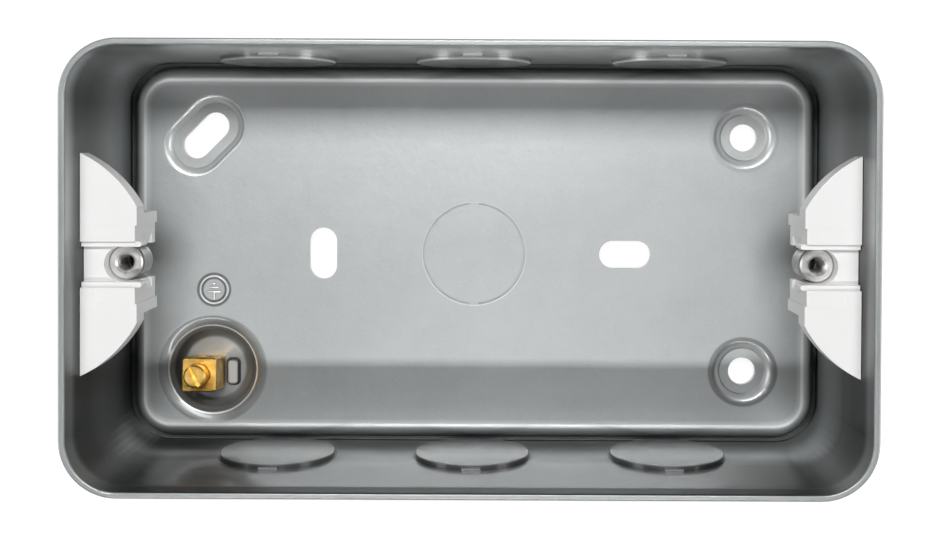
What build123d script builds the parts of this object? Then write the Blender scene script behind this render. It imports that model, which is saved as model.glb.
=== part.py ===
import os
from math import cos, radians, sin, tan

from build123d import *

# Steel box: outside sizes at the mouth, which faces up, with the back lying on the plane z = 0
mouth_length = 136.5
mouth_width = 76.5
box_depth = 40.0
sheet = 1.2
mouth_corner = 9.7
wall_draft = 0.75
rim_round = 0.4
foot_bend = 0.3

# Raised back panel, with a gutter left between it and the walls
gutter = 0.8
panel_height = 3.2
panel_corner = 7.8
riser_slope = 22.0
riser_bend = 0.3
panel_bend = 1.4

# Round and slotted fixing holes of the back, each in a dished seat, placed from the box's outside
fixing_inset_x = 16.55
fixing_inset_y = 15.75
fixing_x = mouth_length / 2 - fixing_inset_x
fixing_y = mouth_width / 2 - fixing_inset_y
fixing_hole = 5.2
slot_width = 5.2
corner_slot_length = 10.4
middle_slot_length = 9.8
middle_slot_inset = 39.35
middle_slot_x = mouth_length / 2 - middle_slot_inset
seat_floor_radius = 4.35
seat_depth = 1.2
seat_slope = 35.0
seat_bend = 0.5

# Half-sheared discs that can be knocked out
wall_knockout = 21.0
wall_knockout_pitch = 36.0
wall_knockout_height = 13.9
wall_knockouts = 3
knockout_step = 0.9
knockout_edge = 0.15
tie_width = 3.4
tie_reach = 0.7
tie_height = 0.5
back_knockout = 19.6
score_width = 0.4
score_depth = 0.4
back_tie_width = 1.8

# Cup pressed back down for the earth terminal, and the pill-shaped stop beside the terminal
cup_inset_x = 18.05
cup_inset_y = 15.75
cup_x = cup_inset_x - mouth_length / 2
cup_y = cup_inset_y - mouth_width / 2
cup_mouth_radius = 8.4
cup_slope = 20.0
cup_lip_drop = 0.55
cup_flare_radius = 10.7
cup_bend = 2.4
stop_gap = 0.5
stop_width = 2.1
stop_length = 4.7
stop_corner = 0.7
stop_height = 0.8

# Brass pillar terminal with its slotted clamping screw
terminal_off_x = 1.3
terminal_off_y = 0.8
terminal_x = cup_x - terminal_off_x
terminal_y = cup_y - terminal_off_y
terminal_lean = 5.0
terminal_side = 6.4
terminal_height = 9.0
terminal_corner = 0.6
terminal_edge = 0.25
terminal_tap = 3.3
terminal_mouth = 4.7
terminal_mouth_depth = 0.8
wire_hole = 3.4
wire_hole_height = 5.0
spigot = 3.0
spigot_gap = 0.2
spigot_recess = 0.3
screw_diameter = 4.1
screw_root = 3.2
screw_length = 6.2
screw_proud = 3.8
screw_edge = 0.3
driver_slot_width = 0.75
driver_slot_depth = 1.0
driver_slot_turn = -62.0

# Moulded carriers at the end walls, hung on pegs in the wall
carrier_drop = 7.6
carrier_gap = 0.1
flange_radius = 21.1
flange_centre_out = 8.8
flange_reach = 9.8
flange_thickness = 4.6
front_setback = 0.35
moulded_wall = 1.6
pad_width = 13.4
pad_length = 7.2
pad_corner = 1.6
pad_sink = 0.12
column_width = 17.4
column_height = 13.5
cheek_thickness = 0.9
cheek_drop = 0.8
cheek_reach = 0.6
channel_drop = 2.1
lead_in_depth = 1.0
lead_in_width = 2.8
ledge_height = 2.1
mould_round = 0.3
peg = 3.4
peg_spacing = 25.0
peg_gap = 0.1

# Steel barrel nuts for the accessory screws
nut_inset = 7.95
nut_diameter = 5.9
nut_gap = 0.1
nut_length = 7.2
nut_sink = 4.6
nut_edge = 0.25
nut_bore = 2.9
nut_mouth = 3.7
neck_diameter = 4.5
neck_width = 1.1
neck_below_top = 0.5
collar_gap = 0.1

# How far cutting shapes run past the faces that they cut, and how near a face counts as level
cut_past = 1.0
level_near = 0.001

os.makedirs("parts", exist_ok=True)

lean = radians(wall_draft)
draft_run = tan(lean)


def form_half(size, skin, height):
    """Half the size of the sheet's outside (skin 0) or inside (skin = sheet) at a height."""
    return size / 2 - (box_depth - height) * draft_run - skin / cos(lean)


def fold_growth(skin, slope):
    """How far a slope's outside foot stands beyond its inside foot, each in its own plane."""
    return (sheet - skin) * (1 / cos(radians(slope)) - tan(radians(slope)))


def raised_panel(skin):
    """The panel's raised volume on one side of the sheet, with its rim rounded."""
    growth = fold_growth(skin, riser_slope)
    foot_length = 2 * (form_half(mouth_length, sheet, sheet) - gutter - growth)
    foot_width = 2 * (form_half(mouth_width, sheet, sheet) - gutter - growth)
    with BuildPart() as panel:
        with BuildSketch(Plane.XY.offset(skin)):
            RectangleRounded(foot_length, foot_width, panel_corner - growth)
        extrude(amount=panel_height, taper=riser_slope)
        fillet(panel.faces().sort_by(Axis.Z)[-1].edges(), panel_bend + skin)
    return panel.part


def seat_spaces(skin):
    """The dished seats of the fixing holes, from their floors up to the panel."""
    radius = seat_floor_radius + fold_growth(skin, seat_slope)
    with BuildPart() as seats:
        with BuildSketch(Plane.XY.offset(skin + panel_height - seat_depth)):
            with Locations((fixing_x, fixing_y), (fixing_x, -fixing_y)):
                Circle(radius)
            with Locations((-fixing_x, fixing_y)):
                SlotCenterToCenter(corner_slot_length - slot_width, 2 * radius, rotation=45)
        extrude(amount=seat_depth, taper=-seat_slope)
    return seats.part


def cup_space(skin):
    """The earth cup with its flared brim, from the plane of the back ring up."""
    top = skin + panel_height
    lip_radius = cup_mouth_radius + fold_growth(skin, cup_slope)
    floor_radius = lip_radius - (panel_height - cup_lip_drop) * tan(radians(cup_slope))
    lip = (lip_radius, top - cup_lip_drop)
    brim = (cup_flare_radius, top)
    with BuildPart() as cup:
        with BuildSketch(Plane.XZ) as half:
            with BuildLine():
                Polyline((0, top + cut_past), (0, skin), (floor_radius, skin), lip)
                TangentArc(brim, lip, tangent=(-1, 0))
                Polyline(brim, (cup_flare_radius, top + cut_past), (0, top + cut_past))
            make_face()
            foot = half.vertices().filter_by(lambda v: abs(v.X - floor_radius) < level_near)
            fillet(foot, cup_bend + sheet - skin)
        revolve(axis=Axis.Z)
    return cup.part


def pressed_form(skin, height):
    """The solid inside one side of the sheet: skin 0 is the outside, skin = sheet the inside."""
    panel_top = skin + panel_height
    with BuildPart() as form:
        with BuildSketch(Plane.XY.offset(skin)):
            RectangleRounded(
                2 * form_half(mouth_length, skin, skin),
                2 * form_half(mouth_width, skin, skin),
                mouth_corner - (box_depth - skin) * draft_run - skin,
            )
        extrude(amount=height - skin, taper=-wall_draft)
        add(raised_panel(skin), mode=Mode.SUBTRACT)
        ring = form.faces().sort_by(Axis.Z)[0]
        fillet(ring.outer_wire().edges(), foot_bend + sheet - skin)
        ring = form.faces().sort_by(Axis.Z)[0]
        fillet(ring.inner_wires()[0].edges(), riser_bend + sheet - skin)
        add(seat_spaces(skin))
        level = form.faces().filter_by(lambda f: abs(f.center().Z - panel_top) < level_near)
        brims = level.sort_by(SortBy.AREA)[-1].inner_wires()
        fillet(brims.edges(), seat_bend + skin)
        with Locations((cup_x, cup_y)):
            add(cup_space(skin))
    return form.part


def knockout_disc():
    """A disc pushed inwards by half-shearing, with the tie that still holds it at the top."""
    with BuildPart() as disc:
        Cylinder(wall_knockout / 2, sheet / 2 + knockout_step, align=(Align.CENTER, Align.CENTER, Align.MIN))
        chamfer(disc.edges().group_by(Axis.Z)[-1], knockout_edge)
        with Locations((0, wall_knockout / 2, 0)):
            Box(
                tie_width,
                2 * tie_reach,
                sheet / 2 + tie_height,
                align=(Align.CENTER, Align.CENTER, Align.MIN),
            )
    return disc.part


def score_ring():
    """The two arcs of the back knockout's scored circle, left whole at its ties."""
    with BuildSketch() as ring:
        Circle(back_knockout / 2)
        Circle(back_knockout / 2 - score_width, mode=Mode.SUBTRACT)
        Rectangle(back_tie_width, back_knockout, mode=Mode.SUBTRACT)
    return ring.sketch


# Planes of the long walls' inner faces, one at each knockout
wall_planes = []
for side in (1, -1):
    for step in range(wall_knockouts):
        along = (step - (wall_knockouts - 1) / 2) * wall_knockout_pitch
        across = side * form_half(mouth_width, sheet, wall_knockout_height)
        wall_planes.append(
            Plane(
                origin=(along, across, wall_knockout_height),
                x_dir=(side, 0, 0),
                z_dir=(0, -side * cos(lean), sin(lean)),
            )
        )

# Levels and places shared by the box, the carriers, the nuts and the terminal
panel_top = sheet + panel_height
carrier_top = box_depth - carrier_drop
flange_bottom = carrier_top - flange_thickness
column_bottom = carrier_top - column_height
wall_x = form_half(mouth_length, sheet, carrier_top)
peg_height = carrier_top - flange_thickness / 2
nut_x = mouth_length / 2 - nut_inset
nut_top = carrier_top - nut_sink
stop_x = terminal_x + terminal_side / 2 + stop_gap + stop_width / 2

# Pressed steel box
with BuildPart() as box_shell:
    add(pressed_form(0, box_depth))
    add(pressed_form(sheet, box_depth + sheet), mode=Mode.SUBTRACT)
    fillet(box_shell.edges().group_by(Axis.Z)[-1], rim_round)
    with Locations(*[plane.offset(-sheet / 2) for plane in wall_planes]):
        add(knockout_disc())
    with BuildSketch(*[plane.offset(-sheet - cut_past) for plane in wall_planes]):
        Circle(wall_knockout / 2)
    extrude(amount=cut_past + knockout_step, mode=Mode.SUBTRACT)
    with BuildSketch(Plane.XY.offset(panel_top)):
        add(score_ring())
    extrude(amount=-score_depth, mode=Mode.SUBTRACT)
    with BuildSketch(Plane.XY.offset(panel_height)):
        add(score_ring())
    extrude(amount=score_depth, mode=Mode.SUBTRACT)
    with BuildSketch():
        with Locations((fixing_x, fixing_y), (fixing_x, -fixing_y)):
            Circle(fixing_hole / 2)
        with Locations((-fixing_x, fixing_y)):
            SlotOverall(corner_slot_length, slot_width, rotation=45)
        with Locations((-middle_slot_x, 0)):
            SlotOverall(middle_slot_length, slot_width, rotation=90)
        with Locations((middle_slot_x, 0)):
            SlotOverall(middle_slot_length, slot_width)
    extrude(amount=panel_top + cut_past, mode=Mode.SUBTRACT)
    with BuildSketch(Plane.XY.offset(sheet)):
        with Locations((stop_x, terminal_y)):
            RectangleRounded(stop_width, stop_length, stop_corner)
    extrude(amount=stop_height)
    with BuildSketch():
        with Locations((stop_x, terminal_y)):
            RectangleRounded(stop_width, stop_length, stop_corner)
    extrude(amount=stop_height, mode=Mode.SUBTRACT)
    with Locations((terminal_x, terminal_y, 0)):
        Cylinder(spigot / 2 + spigot_gap, 2 * (sheet + cut_past), mode=Mode.SUBTRACT)
    with Locations((0, peg_spacing / 2, peg_height), (0, -peg_spacing / 2, peg_height)):
        Cylinder(peg / 2 + peg_gap, mouth_length + cut_past, rotation=(0, 90, 0), mode=Mode.SUBTRACT)
box_shell.part.label = "box_shell"
export_step(box_shell.part, "parts/box_shell.step")


def nut_slot(radius):
    """The slot that takes the nut, open to the middle of the box."""
    with BuildSketch() as slot:
        with Locations((-nut_x, 0)):
            Circle(radius)
            Rectangle(nut_x, nut_diameter + 2 * nut_gap, align=(Align.MIN, Align.CENTER))
    return slot.sketch


# Moulded carrier of the left end, built against its wall and trimmed to the wall's lean
with BuildPart() as lug_carrier_left:
    front_x = -wall_x + flange_reach
    # D-shaped flange with a skirt, hollow underneath
    with BuildSketch(Plane.XY.offset(flange_bottom)):
        with Locations((-wall_x - flange_centre_out, 0)):
            Circle(flange_radius)
        with Locations((-wall_x - sheet, 0)):
            Rectangle(
                flange_reach + sheet, 2 * flange_radius, align=(Align.MIN, Align.CENTER), mode=Mode.INTERSECT
            )
    extrude(amount=flange_thickness)
    with BuildSketch(Plane.XY.offset(flange_bottom)):
        with Locations((-wall_x - flange_centre_out, 0)):
            Circle(flange_radius - moulded_wall)
        with Locations((-wall_x + moulded_wall, 0)):
            Rectangle(
                flange_reach - 2 * moulded_wall,
                2 * flange_radius,
                align=(Align.MIN, Align.CENTER),
                mode=Mode.INTERSECT,
            )
    extrude(amount=flange_thickness - moulded_wall, mode=Mode.SUBTRACT)
    # Column under the flange, cored from below on both sides of the nut
    with BuildSketch(Plane.XY.offset(column_bottom)):
        with Locations((-wall_x - sheet, 0)):
            Rectangle(flange_reach + sheet, column_width, align=(Align.MIN, Align.CENTER))
    extrude(amount=column_height - moulded_wall)
    core_width = column_width / 2 - moulded_wall - nut_diameter / 2 - nut_gap - cheek_thickness
    core_y = column_width / 2 - moulded_wall - core_width / 2
    with BuildSketch(Plane.XY.offset(column_bottom)):
        with Locations((-wall_x + flange_reach / 2, core_y), (-wall_x + flange_reach / 2, -core_y)):
            RectangleRounded(flange_reach - 2 * moulded_wall, core_width, mould_round)
    extrude(amount=column_height - moulded_wall, mode=Mode.SUBTRACT)
    # Set-back of the front's middle
    with BuildSketch(Plane.XY.offset(column_bottom)):
        with Locations((front_x - front_setback, 0)):
            Rectangle(front_setback + cut_past, pad_width, align=(Align.MIN, Align.CENTER))
    extrude(amount=column_height, mode=Mode.SUBTRACT)
    # Lead-in for the nut, cut from the column's front edges down to a ledge
    with BuildSketch(Plane.XY.offset(column_bottom + ledge_height)):
        for side in (1, -1):
            edge_y = side * (nut_diameter / 2 + nut_gap)
            with BuildLine():
                Polyline(
                    (front_x + cut_past, edge_y),
                    (front_x - lead_in_depth, edge_y),
                    (front_x, edge_y + side * lead_in_width),
                    (front_x + cut_past, edge_y + side * lead_in_width),
                    close=True,
                )
            make_face()
    extrude(amount=column_height - flange_thickness - ledge_height, mode=Mode.SUBTRACT)
    # Cheeks that run on past the flange's front
    cheek_y = nut_diameter / 2 + nut_gap + cheek_thickness / 2
    with BuildSketch(Plane.XY.offset(flange_bottom)):
        with Locations((front_x - cheek_thickness, cheek_y), (front_x - cheek_thickness, -cheek_y)):
            SlotOverall(2 * (cheek_reach + cheek_thickness), cheek_thickness)
    extrude(amount=flange_thickness)
    # Sunk pad, channel between the lobes and trough over the nut
    with BuildSketch(Plane.XY.offset(carrier_top)):
        with Locations((front_x, 0)):
            RectangleRounded(2 * pad_length, pad_width, pad_corner)
    extrude(amount=-pad_sink, mode=Mode.SUBTRACT)
    channel_width = nut_diameter + 2 * nut_gap + 2 * cheek_thickness
    with BuildSketch(Plane.XY.offset(carrier_top)):
        Rectangle(mouth_length, channel_width)
    extrude(amount=-cheek_drop, mode=Mode.SUBTRACT)
    with BuildSketch(Plane.XY.offset(carrier_top)):
        Rectangle(mouth_length, nut_diameter + 2 * nut_gap)
    extrude(amount=-channel_drop, mode=Mode.SUBTRACT)
    # Slot for the nut, with a collar that enters the nut's neck
    with BuildSketch(Plane.XY.offset(column_bottom)):
        add(nut_slot(nut_diameter / 2 + nut_gap))
    extrude(amount=column_height, mode=Mode.SUBTRACT)
    collar_bottom = nut_top - neck_below_top - neck_width + collar_gap
    with BuildSketch(Plane.XY.offset(collar_bottom)):
        with Locations((-nut_x, 0)):
            Rectangle(nut_diameter, channel_width, align=(Align.MAX, Align.CENTER))
            Circle(neck_diameter / 2 + collar_gap, mode=Mode.SUBTRACT)
    extrude(amount=neck_width - 2 * collar_gap)
    # Back face along the leaning wall, with pegs through it
    back_plane = Plane(
        origin=(-wall_x + carrier_gap, 0, carrier_top), x_dir=(0, 1, 0), z_dir=(cos(lean), 0, sin(lean))
    )
    split(bisect_by=back_plane, keep=Keep.TOP)
    for side in (1, -1):
        with Locations((-wall_x + moulded_wall, side * peg_spacing / 2, peg_height)):
            Cylinder(
                peg / 2,
                moulded_wall + sheet - peg_gap,
                rotation=(0, -90, 0),
                align=(Align.CENTER, Align.CENTER, Align.MIN),
            )
lug_carrier_left.part.label = "lug_carrier_left"
export_step(lug_carrier_left.part, "parts/lug_carrier_left.step")

with BuildPart() as lug_carrier_right:
    add(lug_carrier_left.part)
    mirror(about=Plane.YZ, mode=Mode.REPLACE)
lug_carrier_right.part.label = "lug_carrier_right"
export_step(lug_carrier_right.part, "parts/lug_carrier_right.step")


def barrel_nut(side):
    """A turned steel nut: barrel, neck under its top ring, and a bore with a sunk mouth."""
    with BuildPart(Plane((side * nut_x, 0, nut_top))) as nut:
        with Locations((0, 0, -nut_length)):
            Cylinder(nut_diameter / 2, nut_length, align=(Align.CENTER, Align.CENTER, Align.MIN))
        chamfer(nut.edges(), nut_edge)
        with BuildSketch(Plane((side * nut_x, 0, nut_top - neck_below_top))):
            Circle(nut_diameter / 2 + cut_past)
            Circle(neck_diameter / 2, mode=Mode.SUBTRACT)
        extrude(amount=-neck_width, mode=Mode.SUBTRACT)
        CounterSinkHole(nut_bore / 2, nut_mouth / 2, depth=nut_length, counter_sink_angle=90)
    return nut.part


for name, side in (("barrel_nut_left", -1), ("barrel_nut_right", 1)):
    nut = barrel_nut(side)
    nut.label = name
    export_step(nut, f"parts/{name}.step")

# Brass terminal block, leaning a little on one edge of its foot, with its spigot peened in the cup
terminal_turn = radians(terminal_lean)
foot_rise = terminal_side / 2 * sin(terminal_turn)
terminal_foot = Plane(
    origin=(terminal_x, terminal_y, sheet + foot_rise),
    x_dir=(1, 0, 0),
    z_dir=(0, sin(terminal_turn), cos(terminal_turn)),
)
terminal_axis = Axis(terminal_foot.origin, terminal_foot.z_dir)
with BuildPart(terminal_foot) as earth_terminal_block:
    Box(terminal_side, terminal_side, terminal_height, align=(Align.CENTER, Align.CENTER, Align.MIN))
    fillet(earth_terminal_block.edges().filter_by(terminal_axis), terminal_corner)
    chamfer(earth_terminal_block.faces().sort_by(terminal_axis)[-1].edges(), terminal_edge)
    with Locations((0, 0, wire_hole_height)):
        Cylinder(wire_hole / 2, terminal_side + 2 * cut_past, rotation=(90, 0, 0), mode=Mode.SUBTRACT)
    with Locations((0, 0, terminal_height)):
        CounterBoreHole(
            terminal_tap / 2, terminal_mouth / 2, terminal_mouth_depth, terminal_height - wire_hole_height
        )
    spigot_length = sheet + foot_rise - spigot_recess
    with Locations((0, 0, -spigot_length)):
        Cylinder(spigot / 2, spigot_length, align=(Align.CENTER, Align.CENTER, Align.MIN))
earth_terminal_block.part.label = "earth_terminal_block"
export_step(earth_terminal_block.part, "parts/earth_terminal_block.step")

# Slotted clamping screw, standing backed out of the block
screw_top = terminal_height + screw_proud
with BuildPart(terminal_foot) as earth_terminal_screw:
    with Locations((0, 0, screw_top - screw_length)):
        Cylinder(screw_root / 2, screw_length, align=(Align.CENTER, Align.CENTER, Align.MIN))
    shank = screw_proud + terminal_mouth_depth - screw_edge
    with Locations((0, 0, screw_top - shank)):
        Cylinder(screw_diameter / 2, shank, align=(Align.CENTER, Align.CENTER, Align.MIN))
    chamfer(earth_terminal_screw.faces().sort_by(terminal_axis)[-1].edges(), screw_edge)
    with BuildSketch(terminal_foot.offset(screw_top)):
        Rectangle(screw_diameter + 2 * cut_past, driver_slot_width, rotation=driver_slot_turn)
    extrude(amount=-driver_slot_depth, mode=Mode.SUBTRACT)
earth_terminal_screw.part.label = "earth_terminal_screw"
export_step(earth_terminal_screw.part, "parts/earth_terminal_screw.step")
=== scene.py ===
import math

import bpy
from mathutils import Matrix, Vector


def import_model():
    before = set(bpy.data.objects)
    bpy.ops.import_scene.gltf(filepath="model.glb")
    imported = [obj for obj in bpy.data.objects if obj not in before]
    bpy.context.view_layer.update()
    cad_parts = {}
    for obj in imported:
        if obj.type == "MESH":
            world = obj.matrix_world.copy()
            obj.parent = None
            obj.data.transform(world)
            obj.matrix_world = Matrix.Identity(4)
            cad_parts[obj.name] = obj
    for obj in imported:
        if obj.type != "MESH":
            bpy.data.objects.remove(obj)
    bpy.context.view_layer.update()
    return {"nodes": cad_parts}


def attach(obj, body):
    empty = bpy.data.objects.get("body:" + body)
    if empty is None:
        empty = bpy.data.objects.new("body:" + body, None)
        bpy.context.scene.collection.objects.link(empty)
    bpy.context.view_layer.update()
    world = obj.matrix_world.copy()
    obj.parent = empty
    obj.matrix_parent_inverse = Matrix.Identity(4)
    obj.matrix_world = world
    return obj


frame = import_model()

# Sizes of the box in millimetres, as the solids have them
MM = 0.001
SHEET = 1.2
WALL_HALF_LENGTH = 66.54        # to the walls' inner face, at the height of the sheet's thickness
WALL_HALF_WIDTH = 36.54
WALL_CORNER = 8.5
WALL_LEAN = 0.0131              # outward for each millimetre up
PANEL_TOP = 4.4
BLANK_PITCH = 36.0              # of the three half-sheared blanks in each long wall
BLANK_HEIGHT = 13.9
BLANK_RADIUS = 10.5
BACK_BLANK_RADIUS = 9.8
FIXING_X, FIXING_Y = 51.7, 22.5
SLOT_HALF = 2.61                # half of the corner slot's straight part
SEAT_FLOOR, SEAT_BRIM = 4.35, 5.35
CUP_X, CUP_Y = -50.2, -22.5
CUP_FLOOR, CUP_TOP, CUP_EDGE = 5.9, 7.85, 8.45
FLARE_FROM, FLARE_TO = 8.5, 10.4
STOP_X, STOP_Y = -46.75, -23.3
STOP_HALF_X, STOP_HALF_Y, STOP_CORNER = 1.05, 2.35, 0.7
SIGN_X, SIGN_Y, SIGN_RADIUS = -49.9, -7.1, 2.62
NUT_X = 60.3
NUT_SHADE_TOP = 27.2
THREAD_RADIUS, THREAD_DEPTH, THREAD_PITCH = 1.47, 0.22, 0.6
THREAD_FOOT, THREAD_TOP = 20.8, 27.0

# Zones of the painted shade on the walls, in millimetres
END_FROM = 60.0                 # on the end walls, beyond this distance from the middle
CORNER_FROM = 45.0
LEFT_TO = -46.0
# Heights between which the inner walls get painted shade
DEEP_FROM, DEEP_TO = 17.0, 36.6

# Colours of the grey coating, and of the painted shade and painted highlight mixed into it
GREY_DARK = (0.379, 0.395, 0.396, 1)
GREY_LIGHT = (0.412, 0.429, 0.430, 1)
FLECK_LIGHT = (0.52, 0.535, 0.53, 1)
FLECK_DARK = (0.24, 0.25, 0.25, 1)
# Painted shade colour and painted highlight colour, mixed over the coating where the sheet's masks say
SHADE = (0.015, 0.015, 0.015, 1)
PAINTED_HIGHLIGHT_COLOUR = (0.93, 0.935, 0.93, 1)

# Relief of the finishes, in metres
PEEL_DEPTH = 0.00003
GRAIN_DEPTH = 0.000006
MOULD_DEPTH = 0.000008


# Nodes and sums on their values

class Wire:
    """A socket's value in a material, on which sums are written as plain expressions."""

    def __init__(self, nodes, socket):
        self.nodes = nodes
        self.socket = socket

    def math(self, operation, *values):
        return self.nodes.add("ShaderNodeMath", {"operation": operation}, dict(enumerate(values)))

    def __add__(self, other):
        return self.math("ADD", self, other)

    def __radd__(self, other):
        return self.math("ADD", other, self)

    def __sub__(self, other):
        return self.math("SUBTRACT", self, other)

    def __rsub__(self, other):
        return self.math("SUBTRACT", other, self)

    def __mul__(self, other):
        return self.math("MULTIPLY", self, other)

    def __rmul__(self, other):
        return self.math("MULTIPLY", other, self)

    def __abs__(self):
        return self.math("ABSOLUTE", self)

    def most(self, other):
        return self.math("MAXIMUM", self, other)

    def least(self, other):
        return self.math("MINIMUM", self, other)

    def above(self, edge, soft):
        """0 below the edge and 1 above it, with a soft step."""
        return self.nodes.add("ShaderNodeMapRange", {"interpolation_type": "SMOOTHSTEP"},
                              {"Value": self, "From Min": edge - soft, "From Max": edge + soft}, out="Result")

    def below(self, edge, soft):
        """1 below the edge and 0 above it, with a soft step."""
        return 1.0 - self.above(edge, soft)

    def within(self, low, high, soft):
        """1 between two values and 0 outside them, with soft steps."""
        return self.above(low, soft) * self.below(high, soft)


class Nodes:
    """The nodes of one material or of the world."""

    def __init__(self, tree):
        self.tree = tree

    def plug(self, socket, value):
        """Gives a socket a constant, or links a wire to it."""
        if isinstance(value, Wire):
            self.tree.links.new(value.socket, socket)
        else:
            socket.default_value = value

    def add(self, kind, settings=None, inputs=None, out=0):
        """Adds a node with its settings and its sockets' values or wires, and gives the wire of one output."""
        node = self.tree.nodes.new(kind)
        for name, value in (settings or {}).items():
            setattr(node, name, value)
        for name, value in (inputs or {}).items():
            self.plug(node.inputs[name], value)
        return None if out is None else Wire(self, node.outputs[out])

    def axes(self, vector):
        """The three parts of a vector."""
        node = self.add("ShaderNodeSeparateXYZ", inputs={0: vector}).socket.node
        return [Wire(self, socket) for socket in node.outputs]

    def camera_rays(self):
        """1 where the camera looks straight at the surface."""
        return self.add("ShaderNodeLightPath", out="Is Camera Ray")

    def seeing_rays(self):
        """1 where the surface is seen straight, mirrored or through something."""
        mirrored = self.add("ShaderNodeLightPath", out="Is Glossy Ray")
        through = self.add("ShaderNodeLightPath", out="Is Transmission Ray")
        return self.camera_rays().most(mirrored).most(through)


def length(across, along):
    """The diagonal over two distances."""
    return across.math("SQRT", across * across + along * along)


def out_of_round_box(x, y, half_x, half_y, corner):
    """Distance out of a rectangle with rounded corners, below 0 inside it."""
    across = abs(x) - (half_x - corner)
    along = abs(y) - (half_y - corner)
    return length(across.most(0.0), along.most(0.0)) + across.most(along).least(0.0) - corner


def strongest(parts):
    """The largest of some values at each point."""
    result = parts[0]
    for part in parts[1:]:
        result = result.most(part)
    return result


class Finish(Nodes):
    """A material with its one shader, whose constants are set on its own sockets."""

    def __init__(self, name, **constants):
        self.material = bpy.data.materials.new(name)
        self.material.use_nodes = True
        super().__init__(self.material.node_tree)
        self.shader = self.tree.nodes["Principled BSDF"]
        self.feed(**constants)
        self.place = self.add("ShaderNodeTexCoord", out="Object")

    def feed(self, **values):
        """Sets or links the shader's sockets, whose names have underscores here."""
        for name, value in values.items():
            self.plug(self.shader.inputs[name.replace("_", " ")], value)

    def mapped(self, **inputs):
        """Object coordinates that are moved, turned or stretched."""
        return self.add("ShaderNodeMapping", {"vector_type": "POINT"}, {"Vector": self.place, **inputs})

    def noise(self, scale, detail=3.0, roughness=0.5, place=None):
        return self.add("ShaderNodeTexNoise", inputs={"Vector": place or self.place, "Scale": scale,
                                                      "Detail": detail, "Roughness": roughness})

    def mix(self, factor, low, high):
        """A colour between two others."""
        return self.add("ShaderNodeMix", {"data_type": "RGBA"}, {0: factor, 6: low, 7: high}, out=2)

    def relief(self, height, depth, **under):
        """A bump whose height runs from 0 to 1 over a depth in metres, on the Normal of a coarser one."""
        return self.add("ShaderNodeBump", inputs={"Height": height, "Distance": depth, "Strength": 1.0, **under},
                        out="Normal")


# Painted shade and painted highlights on the pressed sheet

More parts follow.
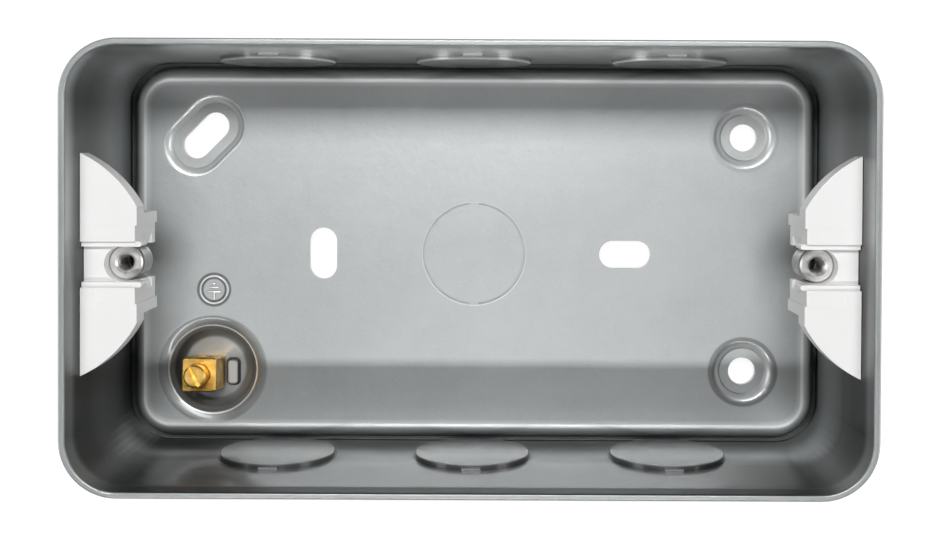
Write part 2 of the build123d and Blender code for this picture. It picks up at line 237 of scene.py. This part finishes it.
class Sheet:
    """Where the coating gets painted shade, painted highlights or a duller coat, by the sheet's own axes in
    millimetres.
    """

    def __init__(self, finish):
        self.x, self.y, self.z = [axis * 1000.0 for axis in finish.axes(finish.place)]
        lean = (self.z - SHEET) * WALL_LEAN
        self.wall = out_of_round_box(self.x, self.y, lean + WALL_HALF_LENGTH, lean + WALL_HALF_WIDTH, WALL_CORNER)
        self.inside = self.wall.below(0.15, 0.08)
        self.face = self.wall.above(-0.25, 0.2) * self.inside
        self.end = abs(self.x).above(END_FROM, 6.0)
        self.near = self.y.below(0.0, 5.0)
        # Masks of painted shade, masks of painted highlight, and amounts by which the clear coat is lowered
        self.painted_shades = []
        self.light = []
        self.uncoated = []
        self.walls()
        self.long_wall_blanks()
        self.back_blank()
        self.seats()
        self.cup()
        self.sign()

    def walls(self):
        """Painted shade high on the inner walls, under the near rim and in the groove at their foot, a painted
        reflection band on the near wall, and a painted highlight on the panel's edge.
        """
        z, wall, face, end, near = self.z, self.wall, self.face, self.end, self.near
        corners = abs(self.x).above(CORNER_FROM, 9.0) * near
        left = self.x.below(LEFT_TO, 8.0)
        # Painted shade on the inner walls: stronger on the near wall, its corners, the end walls and the near left
        # corner, fading out under the rim
        near_wall_shade = (near * 0.57 + corners * 0.22) * z.above(DEEP_FROM, 5.0)
        end_wall_shade = end * z.above(DEEP_FROM - 2.0, 14.0) * (left.most(near) * 0.1 + 0.78)
        under_rim = (z - near * (1.0 - end) * 1.3).below(DEEP_TO, 2.8)
        depth = strongest([near_wall_shade, end_wall_shade, left * near * 0.76]) * face * under_rim
        # Painted shade: a dark line just under the near rim, and the dark groove at the walls' foot
        rim_shade_line = wall.within(-0.5, 0.2, 0.12) * z.above(DEEP_TO - 0.8, 0.7) * near * (1.0 - end * 0.5) * 0.93
        groove = wall.above(-1.0, 0.5) * self.inside * z.above(0.8, 0.15) * z.below(2.0, 0.5) * 0.9
        # Painted reflection: a light band halfway up the near long wall, where the panel's edge highlight is
        # mirrored
        painted_reflection_band = z.within(10.5, 15.0, 2.0) * (1.0 - end) * near * face
        # Painted highlight along the panel's raised edge
        panel_edge = (wall.within(-3.75, -3.15, 0.2) * 0.6 + wall.within(-4.3, -2.7, 0.6) * 0.4) * z.above(3.45, 0.4)
        # The rim's top is darkened with the painted shade, and the clear coat is lowered where the painted shade
        # lies
        self.painted_shades += [z.above(39.3, 0.3) * 0.25, depth, rim_shade_line, groove]
        self.light += [panel_edge, painted_reflection_band * 0.3]
        self.uncoated += [face * end * 0.6, groove * 0.8, rim_shade_line * 0.85, corners * face * 0.6]

    def long_wall_blanks(self):
        """Painted shade as a dark line at the foot of each blank's step, painted highlight on the far ones' brims
        and on the far wall's face, and painted shade on the near discs and their ties.
        """
        wall, near, end = self.wall, self.near, self.end
        half = BLANK_PITCH / 2
        blank = length(abs(abs(self.x) - half) - half, self.z - BLANK_HEIGHT)
        by_wall = self.inside * wall.above(-1.3, 0.1) * (1.0 - end)
        foot = blank.within(BLANK_RADIUS - 0.15, BLANK_RADIUS + 0.45, 0.1) * by_wall
        brim = blank.within(BLANK_RADIUS - 0.3, BLANK_RADIUS + 0.12, 0.06) * by_wall
        ties = blank.within(BLANK_RADIUS + 0.12, BLANK_RADIUS + 1.1, 0.06) * by_wall
        disc = blank.below(BLANK_RADIUS - 0.2, 0.15) * by_wall
        # Painted highlight on the far wall's inner face, stronger off the blanks
        far_face = self.face * (1.0 - near) * (1.0 - end) * self.z.within(3.0, 35.5, 2.0)
        self.painted_shades += [foot * (wall + near * 0.45).above(-0.35, 0.12) * (near * 0.1 + 0.7),
                      disc * near * (self.z.above(15.0, 6.0) * 0.4 + 0.04),
                      ties * wall.below(-0.3, 0.1) * near * 0.6]
        self.light += [brim * wall.below(-0.62, 0.12) * (0.7 - near * 0.55),
                       far_face * (blank.above(BLANK_RADIUS, 0.15) * 0.5 + 0.2)]

    def back_blank(self):
        """Painted highlight along the ring that is sheared round the blank of the back, stronger on the near side.
        """
        ring = length(self.x, self.y).within(BACK_BLANK_RADIUS, BACK_BLANK_RADIUS + 0.18, 0.06)
        self.light.append(ring * self.z.above(PANEL_TOP - 0.2, 0.1) * (0.42 - self.y.above(-3.0, 5.0) * 0.27))

    def seats(self):
        """Painted light on the dished seats: painted highlights on the slopes, on the right side of the round bends
        and on the slot's lower bends, and painted shade on the brims and the left side of the bends.
        """
        x, y, z, near = self.x, self.y, self.z, self.near
        seat_x = x - FIXING_X
        seat = length(seat_x, abs(y) - FIXING_Y)
        slot_x, slot_y = x + FIXING_X, y - FIXING_Y
        diagonal = math.sqrt(0.5)
        slot = out_of_round_box((slot_x + slot_y) * diagonal, (slot_y - slot_x) * diagonal, SLOT_HALF, 0.01, 0.01)
        right = seat_x.above(0.5, 2.0)
        bend = seat.within(SEAT_FLOOR - 0.05, SEAT_FLOOR + 0.2, 0.08) * z.above(3.1, 0.1)
        slot_floor_bend = slot.within(SEAT_FLOOR - 0.05, SEAT_FLOOR + 0.2, 0.08)
        slot_brim_bend = slot.within(SEAT_BRIM + 0.3, SEAT_BRIM + 0.6, 0.12)
        slopes = seat.within(SEAT_FLOOR, SEAT_BRIM, 0.25).most(slot.within(SEAT_FLOOR, SEAT_BRIM, 0.25))
        brims = seat.within(SEAT_BRIM + 0.15, SEAT_BRIM + 1.35, 0.2) * z.above(3.7, 0.2)
        self.painted_shades += [brims * (near * 0.4 + 0.12), bend * (1.0 - right) * 0.45]
        self.light += [bend * right * (0.7 - near * 0.45),
                       (slot_floor_bend + slot_brim_bend) * (slot_y - slot_x).below(0.0, 3.0) * 0.6,
                       slopes * z.above(3.25, 0.1) * (0.55 - near * 0.25)]

    def cup(self):
        """The earth cup: painted shade on its wall and flare, a painted highlight on the edge between them, and on
        its floor the stop with a painted shade outline and a painted highlight on top.
        """
        x, y, z = self.x, self.y, self.z
        cup_x = x - CUP_X
        cup = length(cup_x, y - CUP_Y)
        wall = cup.within(CUP_FLOOR, CUP_TOP, 0.4) * z.below(3.75, 0.25) * (0.9 - cup_x.above(-3.0, 3.0) * 0.28)
        flare = cup.within(FLARE_FROM, FLARE_TO, 0.25) * z.above(3.5, 0.15) * (0.55 - cup_x.above(5.5, 3.0) * 0.27)
        edge = cup.within(CUP_EDGE - 0.17, CUP_EDGE + 0.17, 0.12) * (cup_x.above(0.0, 5.0) * 0.45 + 0.4)
        stop = out_of_round_box(x - STOP_X, y - STOP_Y, STOP_HALF_X, STOP_HALF_Y, STOP_CORNER)
        on_floor = z.below(3.0, 0.2)
        self.painted_shades += [wall, flare, stop.within(-0.12, 0.38, 0.1) * on_floor * 0.9]
        self.light += [edge, stop.below(-0.3, 0.1) * on_floor * 0.45]
        self.uncoated += [wall * 0.9, flare * 0.8]
        self.in_cup = cup.below(8.0, 0.3)

    def sign(self):
        """The pressed sign for earth: painted highlights on the ring's ridge and the bars' crests, painted shade in
        the hollows and on the bars' flanks.
        """
        z = self.z
        sign = length(self.x - SIGN_X, self.y - SIGN_Y)
        hollows = sign.within(2.0, 2.35, 0.08) + sign.within(2.95, 3.3, 0.08)
        ridge = sign.within(2.5, 2.8, 0.1)
        bars = sign.below(2.2, 0.08) * z.above(PANEL_TOP + 0.02, 0.01)
        crest = z.above(PANEL_TOP + 0.2, 0.03)
        self.painted_shades += [hollows * z.above(PANEL_TOP - 0.1, 0.05) * 0.62, bars * (1.0 - crest) * 0.9]
        self.light += [ridge * z.above(PANEL_TOP + 0.1, 0.05) * 0.45, bars * crest * 0.8]


# Finishes

def box_paint():
    """Grey gloss coating on pressed steel: cloudy tone, flecks and orange peel, with painted shade and painted
    highlights mixed into its colour.
    """
    finish = Finish("box_paint", IOR=1.5, Coat_Roughness=0.09, Coat_IOR=1.5)
    clouds = finish.noise(45.0, detail=4.0)
    tone = clouds * 0.6 + finish.noise(260.0) * 0.4
    flecks = finish.noise(2600.0, detail=2.0, roughness=0.7)
    peel = finish.noise(620.0, detail=2.0)
    grain = finish.noise(3200.0, detail=1.0)
    colour = finish.mix(tone.above(0.5, 0.22), GREY_DARK, GREY_LIGHT)
    colour = finish.mix(flecks.above(0.65, 0.06) * 0.3, colour, FLECK_LIGHT)
    colour = finish.mix((1.0 - flecks).above(0.67, 0.05) * 0.3, colour, FLECK_DARK)

    sheet = Sheet(finish)
    painted_highlight = strongest(sheet.light)
    # Painted shade, then painted highlight, mixed over the coating's colour
    colour = finish.mix(strongest(sheet.painted_shades), colour, SHADE)
    colour = finish.mix(painted_highlight * 0.85, colour, PAINTED_HIGHLIGHT_COLOUR)
    coat = 0.85
    for part in sheet.uncoated:
        coat = coat - part
    finish.feed(Base_Color=colour, Roughness=clouds * 0.08 + grain * 0.05 - painted_highlight * 0.12 + 0.4,
                Metallic=0.8 - painted_highlight * 0.5 - sheet.in_cup * 0.35, Coat_Weight=coat,
                Normal=finish.relief(grain, GRAIN_DEPTH, Normal=finish.relief(peel, PEEL_DEPTH)))
    return finish.material


def white_moulding():
    """Satin white moulded plastic with a faint cloud and a fine spark-eroded grain."""
    finish = Finish("white_moulding", IOR=1.46, Subsurface_Weight=0.05, Subsurface_Scale=0.001)
    clouds = finish.noise(120.0)
    grain = finish.noise(2600.0, detail=2.0)
    finish.feed(Base_Color=finish.mix(clouds, (0.765, 0.763, 0.755, 1), (0.79, 0.788, 0.782, 1)),
                Roughness=grain * 0.12 + 0.34, Normal=finish.relief(grain, MOULD_DEPTH))
    return finish.material


def turned_steel(name, centre_x):
    """Plated steel turned about an upright axis, with fine tool rings, and painted shade darkening the barrel below
    its top ring.
    """
    finish = Finish(name, Metallic=1.0, IOR=2.2)
    x, y, z = finish.axes(finish.mapped(Location=(-centre_x * MM, 0, 0)))
    wave = length(x, y) * 42000.0 + finish.noise(900.0) * 2.5
    rings = wave.math("SINE", wave)
    stain = finish.noise(500.0).above(0.5, 0.2)
    colour = finish.mix(stain, (0.72, 0.71, 0.70, 1), (0.63, 0.615, 0.60, 1))
    # Painted shade on the barrel below its top ring, where it sits in the slot's shadow
    colour = finish.mix((z * 1000.0).below(NUT_SHADE_TOP, 0.3) * 0.55, colour, (0.22, 0.215, 0.21, 1))
    finish.feed(Base_Color=colour, Roughness=stain * 0.15 + rings * 0.03 + 0.3,
                Normal=finish.relief(rings * 0.5 + 0.5, GRAIN_DEPTH))
    return finish.material


def sawn_brass(name, tone):
    """Bright brass with saw and drill marks and a browner film in patches."""
    finish = Finish(name, Metallic=1.0, IOR=1.8)
    marks = finish.noise(1500.0, place=finish.mapped(Rotation=(0, 0, 0.2), Scale=(0.15, 2.2, 1.0)))
    film = finish.noise(420.0, detail=4.0).above(0.52, 0.1)
    pits = finish.noise(3000.0, detail=2.0, roughness=0.7)
    light = [value * tone for value in (0.88, 0.57, 0.16)] + [1]
    brown = [value * tone for value in (0.56, 0.31, 0.06)] + [1]
    finish.feed(Base_Color=finish.mix(film * 0.7, light, brown), Roughness=marks * 0.2 + pits * 0.1 + 0.2,
                Normal=finish.relief(pits, GRAIN_DEPTH, Normal=finish.relief(marks, PEEL_DEPTH)))
    return finish.material


def wear(node, material):
    """Gives a CAD node its finish."""
    mesh = frame["nodes"][node].data
    mesh.materials.clear()
    mesh.materials.append(material)


# Small pieces

def alone(piece):
    """Selects one piece and nothing else."""
    bpy.ops.object.select_all(action="DESELECT")
    piece.select_set(True)
    bpy.context.view_layer.objects.active = piece


def rounded_bar(centre, length_x, length_y, height):
    """A small bar with rounded edges, centred on a point in metres and sized in millimetres."""
    bpy.ops.object.select_all(action="DESELECT")
    bpy.ops.mesh.primitive_cube_add(size=1, location=centre, scale=(length_x * MM, length_y * MM, height * MM))
    bar = bpy.context.object
    bpy.ops.object.transform_apply(location=False, rotation=False, scale=True)
    alone(bar)
    bevel = bar.modifiers.new("round", "BEVEL")
    bevel.width = 0.16 * MM
    bevel.segments = 3
    bevel.limit_method = "ANGLE"
    bpy.ops.object.modifier_apply(modifier=bevel.name)
    bpy.ops.object.shade_smooth_by_angle(angle=math.radians(40))
    return bar


def earth_sign(material):
    """The pressed sign for earth on the panel: a ring round three bars and a stem."""
    centre = Vector((SIGN_X, SIGN_Y, PANEL_TOP)) * MM
    bpy.ops.object.select_all(action="DESELECT")
    bpy.ops.mesh.primitive_torus_add(major_segments=64, minor_segments=12, location=centre,
                                     major_radius=SIGN_RADIUS * MM, minor_radius=0.36 * MM)
    piece = bpy.context.object
    piece.scale = (1, 1, 1.1)
    bpy.ops.object.shade_smooth()
    bars = [rounded_bar(centre + Vector((x, y, 0)) * MM, length_x, length_y, 0.5)
            for x, y, length_x, length_y in ((0, 1.15, 0.75, 0.42), (0, 0.42, 1.9, 0.42), (0, -0.42, 2.75, 0.42),
                                             (0.05, -1.25, 0.45, 1.5))]
    alone(piece)
    for bar in bars:
        bar.select_set(True)
    bpy.ops.object.join()
    bpy.ops.object.transform_apply(location=True, rotation=True, scale=True)
    piece.name = "earth_sign"
    piece.data.materials.clear()
    piece.data.materials.append(material)
    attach(piece, "root")


def nut_thread(name, x, material):
    """A helical ridge on the wall of a nut's hole, turned from a triangle."""
    half = 0.42 * THREAD_PITCH
    profile = ((THREAD_RADIUS, -half), (THREAD_RADIUS - THREAD_DEPTH, 0.0), (THREAD_RADIUS, half))
    bpy.ops.object.select_all(action="DESELECT")
    bpy.ops.mesh.primitive_circle_add(vertices=3, radius=half * MM, fill_type="NOTHING")
    piece = bpy.context.object
    for vertex, (out, up) in zip(piece.data.vertices, profile):
        vertex.co = (out * MM, 0, up * MM)
    alone(piece)
    screw = piece.modifiers.new("thread", "SCREW")
    screw.axis = "Z"
    screw.angle = math.tau
    screw.screw_offset = THREAD_PITCH * MM
    screw.iterations = math.floor((THREAD_TOP - THREAD_FOOT) / THREAD_PITCH)
    screw.steps = 32
    screw.render_steps = 32
    screw.use_normal_calculate = True
    bpy.ops.object.modifier_apply(modifier=screw.name)
    piece.location = Vector((x, 0, THREAD_FOOT + 0.5 * THREAD_PITCH)) * MM
    bpy.ops.object.transform_apply(location=True, rotation=True, scale=True)
    bpy.ops.object.mode_set(mode="EDIT")
    bpy.ops.mesh.select_all(action="SELECT")
    bpy.ops.mesh.remove_doubles(threshold=0.000001)
    bpy.ops.mesh.normals_make_consistent(inside=False)
    bpy.ops.object.mode_set(mode="OBJECT")
    bpy.ops.object.shade_smooth_by_angle(angle=math.radians(35))
    piece.name = name
    piece.data.materials.append(material)
    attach(piece, "root")


# Floor, light and camera

def floor():
    """A pale plane that is near white where it is seen, and lights the box as a light grey one does."""
    bpy.ops.object.select_all(action="DESELECT")
    bpy.ops.mesh.primitive_plane_add(size=4.0, location=(0, 0, -0.00005))
    ground = bpy.context.object
    ground.name = "floor"
    material = bpy.data.materials.new("pale_floor")
    material.use_nodes = True
    material.node_tree.nodes.clear()
    nodes = Nodes(material.node_tree)
    lit = nodes.add("ShaderNodeBsdfDiffuse", inputs={"Color": (0.8, 0.8, 0.8, 1)})
    shaded = nodes.add("ShaderNodeBsdfDiffuse", inputs={"Color": (0.18, 0.18, 0.18, 1)})
    glow = nodes.add("ShaderNodeEmission", inputs={"Strength": 0.9})
    shown = nodes.add("ShaderNodeAddShader", inputs={0: shaded, 1: glow})
    mixed = nodes.add("ShaderNodeMixShader", inputs={0: nodes.seeing_rays(), 1: lit, 2: shown})
    nodes.add("ShaderNodeOutputMaterial", inputs={"Surface": mixed}, out=None)
    ground.data.materials.append(material)


def world():
    """A plain world: white where it is seen or mirrored near the horizon, with a dim ceiling over the box."""
    dim = 0.06
    scenery = bpy.data.worlds.new("studio")
    bpy.context.scene.world = scenery
    scenery.use_nodes = True
    nodes = Nodes(scenery.node_tree)
    background = nodes.tree.nodes["Background"]
    background.inputs["Color"].default_value = (1, 1, 1, 1)
    height = nodes.axes(nodes.add("ShaderNodeTexCoord", out="Generated"))[2]
    mirrored = 1 - height.above(0.30, 0.12) * (1 - dim)
    shown = nodes.camera_rays().most(mirrored)
    nodes.plug(background.inputs["Strength"], dim + nodes.seeing_rays() * (shown - dim))


def softbox(name, place, aim, size, power):
    lamp = bpy.data.lights.new(name, "AREA")
    lamp.shape = "RECTANGLE"
    lamp.size, lamp.size_y = size
    lamp.energy = power
    holder = bpy.data.objects.new(name, lamp)
    holder.visible_camera = False
    bpy.context.scene.collection.objects.link(holder)
    holder.location = place
    holder.rotation_euler = (Vector(aim) - Vector(place)).to_track_quat("-Z", "Y").to_euler()


def camera():
    """The photograph's own view, straight down into the box from about 260 mm."""
    lens = bpy.data.cameras.new("photo_camera")
    lens.sensor_width = 36.0
    lens.lens = 50.95
    lens.shift_x = -0.0320
    lens.shift_y = -0.1040
    lens.clip_start = 0.01
    lens.clip_end = 20.0
    holder = bpy.data.objects.new("photo_camera", lens)
    bpy.context.scene.collection.objects.link(holder)
    holder.location = (4.99 * MM, 19.82 * MM, 260.05 * MM)
    holder.rotation_euler = (-0.0160, -0.0004, 0.0047)
    bpy.context.scene.camera = holder


# The box and its surroundings

paint = box_paint()
moulding = white_moulding()
wear("box_shell", paint)
earth_sign(paint)
for side, nut_x in (("left", -NUT_X), ("right", NUT_X)):
    steel = turned_steel(f"nut_steel_{side}", nut_x)
    wear(f"lug_carrier_{side}", moulding)
    wear(f"barrel_nut_{side}", steel)
    nut_thread(f"nut_thread_{side}", nut_x, steel)
wear("earth_terminal_block", sawn_brass("terminal_brass", 0.93))
wear("earth_terminal_screw", sawn_brass("screw_brass", 0.98))

floor()
world()
softbox("near_strip", (0.0, -0.305, 0.63), (0, 0, 0), (0.5, 0.03), 1.75)
softbox("far_strip", (0.0, 0.244, 0.63), (0, 0, 0), (0.36, 0.116), 2.95)
softbox("left_fill", (-0.6, 0.0, 0.32), (0, 0, 0.03), (0.5, 0.25), 1.6)
softbox("right_fill", (0.6, 0.0, 0.32), (0, 0, 0.03), (0.5, 0.25), 1.6)
camera()
bpy.context.scene.view_settings.view_transform = "Standard"
